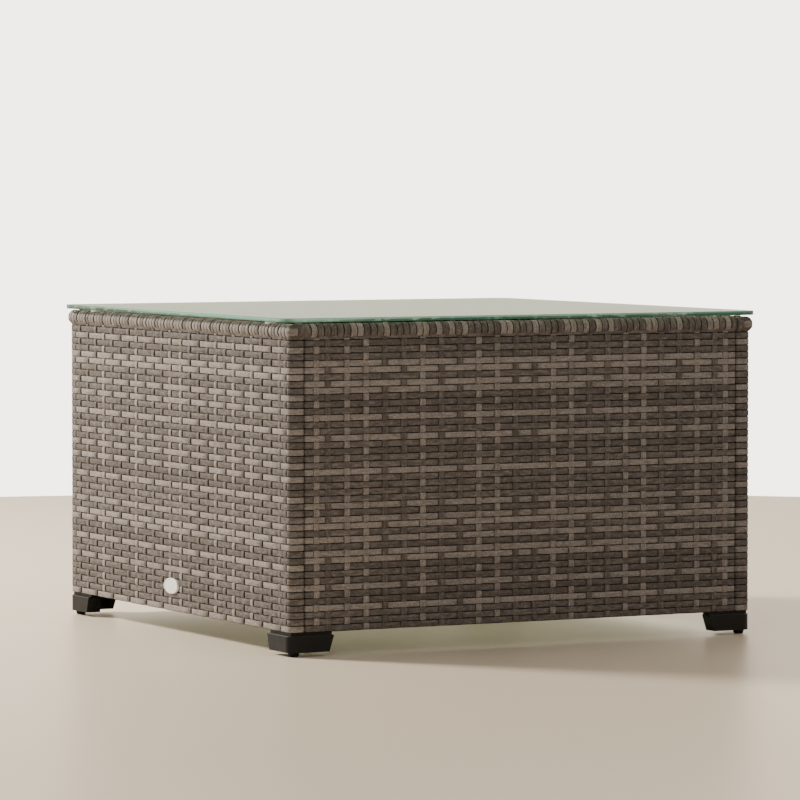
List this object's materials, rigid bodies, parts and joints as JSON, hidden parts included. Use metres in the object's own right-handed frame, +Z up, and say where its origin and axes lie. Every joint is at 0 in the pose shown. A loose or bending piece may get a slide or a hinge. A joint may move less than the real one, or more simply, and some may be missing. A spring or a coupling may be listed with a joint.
{
  "type": "wicker coffee table",
  "caption": "Low square garden coffee table with a rounded glass sheet over woven wicker panels, wrapped top rails, black corner feet and screw-adjusted glides.",
  "frame": {"origin": "on the floor, under the centre of the table", "axes": "+Z up; -Y is the front panel, bolted between the posts; -X is the side with the badge"},
  "size_m": [0.62, 0.62, 0.38],
  "materials": {
    "glass": "clear float glass with a polished green edge",
    "clear_pad": "clear soft pad, satin",
    "strand": "flat extruded strand with fine lengthwise grain, mixed light and dark grey-brown",
    "steel_frame": "dark powder coat",
    "foot_plastic": "black moulded plastic, satin",
    "insert_plastic": "black nylon",
    "glide_nylon": "black nylon, slightly worn face",
    "zinc_steel": "zinc-plated steel",
    "badge_plate": "off-white lacquered plate, blank"
  },
  "bodies": {
    "frame": {"glass_pads": "clear_pad", "left_top_rail_tube": "steel_frame", "left_bottom_rail": "steel_frame", "left_rail_wrap": "strand", "left_weave": "strand", "right_top_rail_tube": "steel_frame", "right_bottom_rail": "steel_frame", "right_rail_wrap": "strand", "right_weave": "strand", "front_top_rail_tube": "steel_frame", "front_bottom_rail": "steel_frame", "front_rail_wrap": "strand", "front_weave": "strand", "back_top_rail_tube": "steel_frame", "back_bottom_rail": "steel_frame", "back_rail_wrap": "strand", "back_weave": "strand", "front_left_rail_end_cap": "strand", "front_left_post": "steel_frame", "front_left_panel_upright": "steel_frame", "front_left_foot": "foot_plastic", "front_left_post_insert": "insert_plastic", "front_right_rail_end_cap": "strand", "front_right_post": "steel_frame", "front_right_panel_upright": "steel_frame", "front_right_foot": "foot_plastic", "front_right_post_insert": "insert_plastic", "back_left_rail_end_cap": "strand", "back_left_post": "steel_frame", "back_left_panel_upright": "steel_frame", "back_left_foot": "foot_plastic", "back_left_post_insert": "insert_plastic", "back_right_rail_end_cap": "strand", "back_right_post": "steel_frame", "back_right_panel_upright": "steel_frame", "back_right_foot": "foot_plastic", "back_right_post_insert": "insert_plastic", "panel_bolts": "zinc_steel", "panel_washers": "zinc_steel", "post_rivet_nuts": "zinc_steel", "foot_screws": "zinc_steel", "badge_pins": "zinc_steel", "badge_clips": "zinc_steel", "badge": "badge_plate"},
    "glass": {"glass_top": "glass"},
    "front_left_glide_body": {"front_left_glide": "glide_nylon"},
    "front_left_stud_body": {"front_left_leveller_stud": "zinc_steel"},
    "front_right_glide_body": {"front_right_glide": "glide_nylon"},
    "front_right_stud_body": {"front_right_leveller_stud": "zinc_steel"},
    "back_left_glide_body": {"back_left_glide": "glide_nylon"},
    "back_left_stud_body": {"back_left_leveller_stud": "zinc_steel"},
    "back_right_glide_body": {"back_right_glide": "glide_nylon"},
    "back_right_stud_body": {"back_right_leveller_stud": "zinc_steel"}
  },
  "joints": [
    {"name": "glass_lift", "type": "slide", "parent": "frame", "child": "glass", "axis": [0, 0, 1], "range_m": [0, 0.12]},
    {"name": "front_left_glide_travel", "type": "slide", "parent": "frame", "child": "front_left_glide_body", "axis": [0, 0, -1], "range_m": [0, 0.0076]},
    {"name": "front_left_stud_turn", "type": "hinge", "parent": "front_left_glide_body", "child": "front_left_stud_body", "pos_m": [-0.2925, -0.2925, 0.0024], "axis": [0, 0, -1], "range_deg": [0, 2160]},
    {"name": "front_right_glide_travel", "type": "slide", "parent": "frame", "child": "front_right_glide_body", "axis": [0, 0, -1], "range_m": [0, 0.0076]},
    {"name": "front_right_stud_turn", "type": "hinge", "parent": "front_right_glide_body", "child": "front_right_stud_body", "pos_m": [0.2925, -0.2925, 0.0024], "axis": [0, 0, -1], "range_deg": [0, 2160]},
    {"name": "back_left_glide_travel", "type": "slide", "parent": "frame", "child": "back_left_glide_body", "axis": [0, 0, -1], "range_m": [0, 0.0076]},
    {"name": "back_left_stud_turn", "type": "hinge", "parent": "back_left_glide_body", "child": "back_left_stud_body", "pos_m": [-0.2925, 0.2925, 0.0024], "axis": [0, 0, -1], "range_deg": [0, 2160]},
    {"name": "back_right_glide_travel", "type": "slide", "parent": "frame", "child": "back_right_glide_body", "axis": [0, 0, -1], "range_m": [0, 0.0076]},
    {"name": "back_right_stud_turn", "type": "hinge", "parent": "back_right_glide_body", "child": "back_right_stud_body", "pos_m": [0.2925, 0.2925, 0.0024], "axis": [0, 0, -1], "range_deg": [0, 2160]}
  ],
  "couplings": [
    {"joint": "front_left_glide_travel", "follows": "front_left_stud_turn", "m_per_rad": 0.00019894},
    {"joint": "front_right_glide_travel", "follows": "front_right_stud_turn", "m_per_rad": 0.00019894},
    {"joint": "back_left_glide_travel", "follows": "back_left_stud_turn", "m_per_rad": 0.00019894},
    {"joint": "back_right_glide_travel", "follows": "back_right_stud_turn", "m_per_rad": 0.00019894}
  ]
}
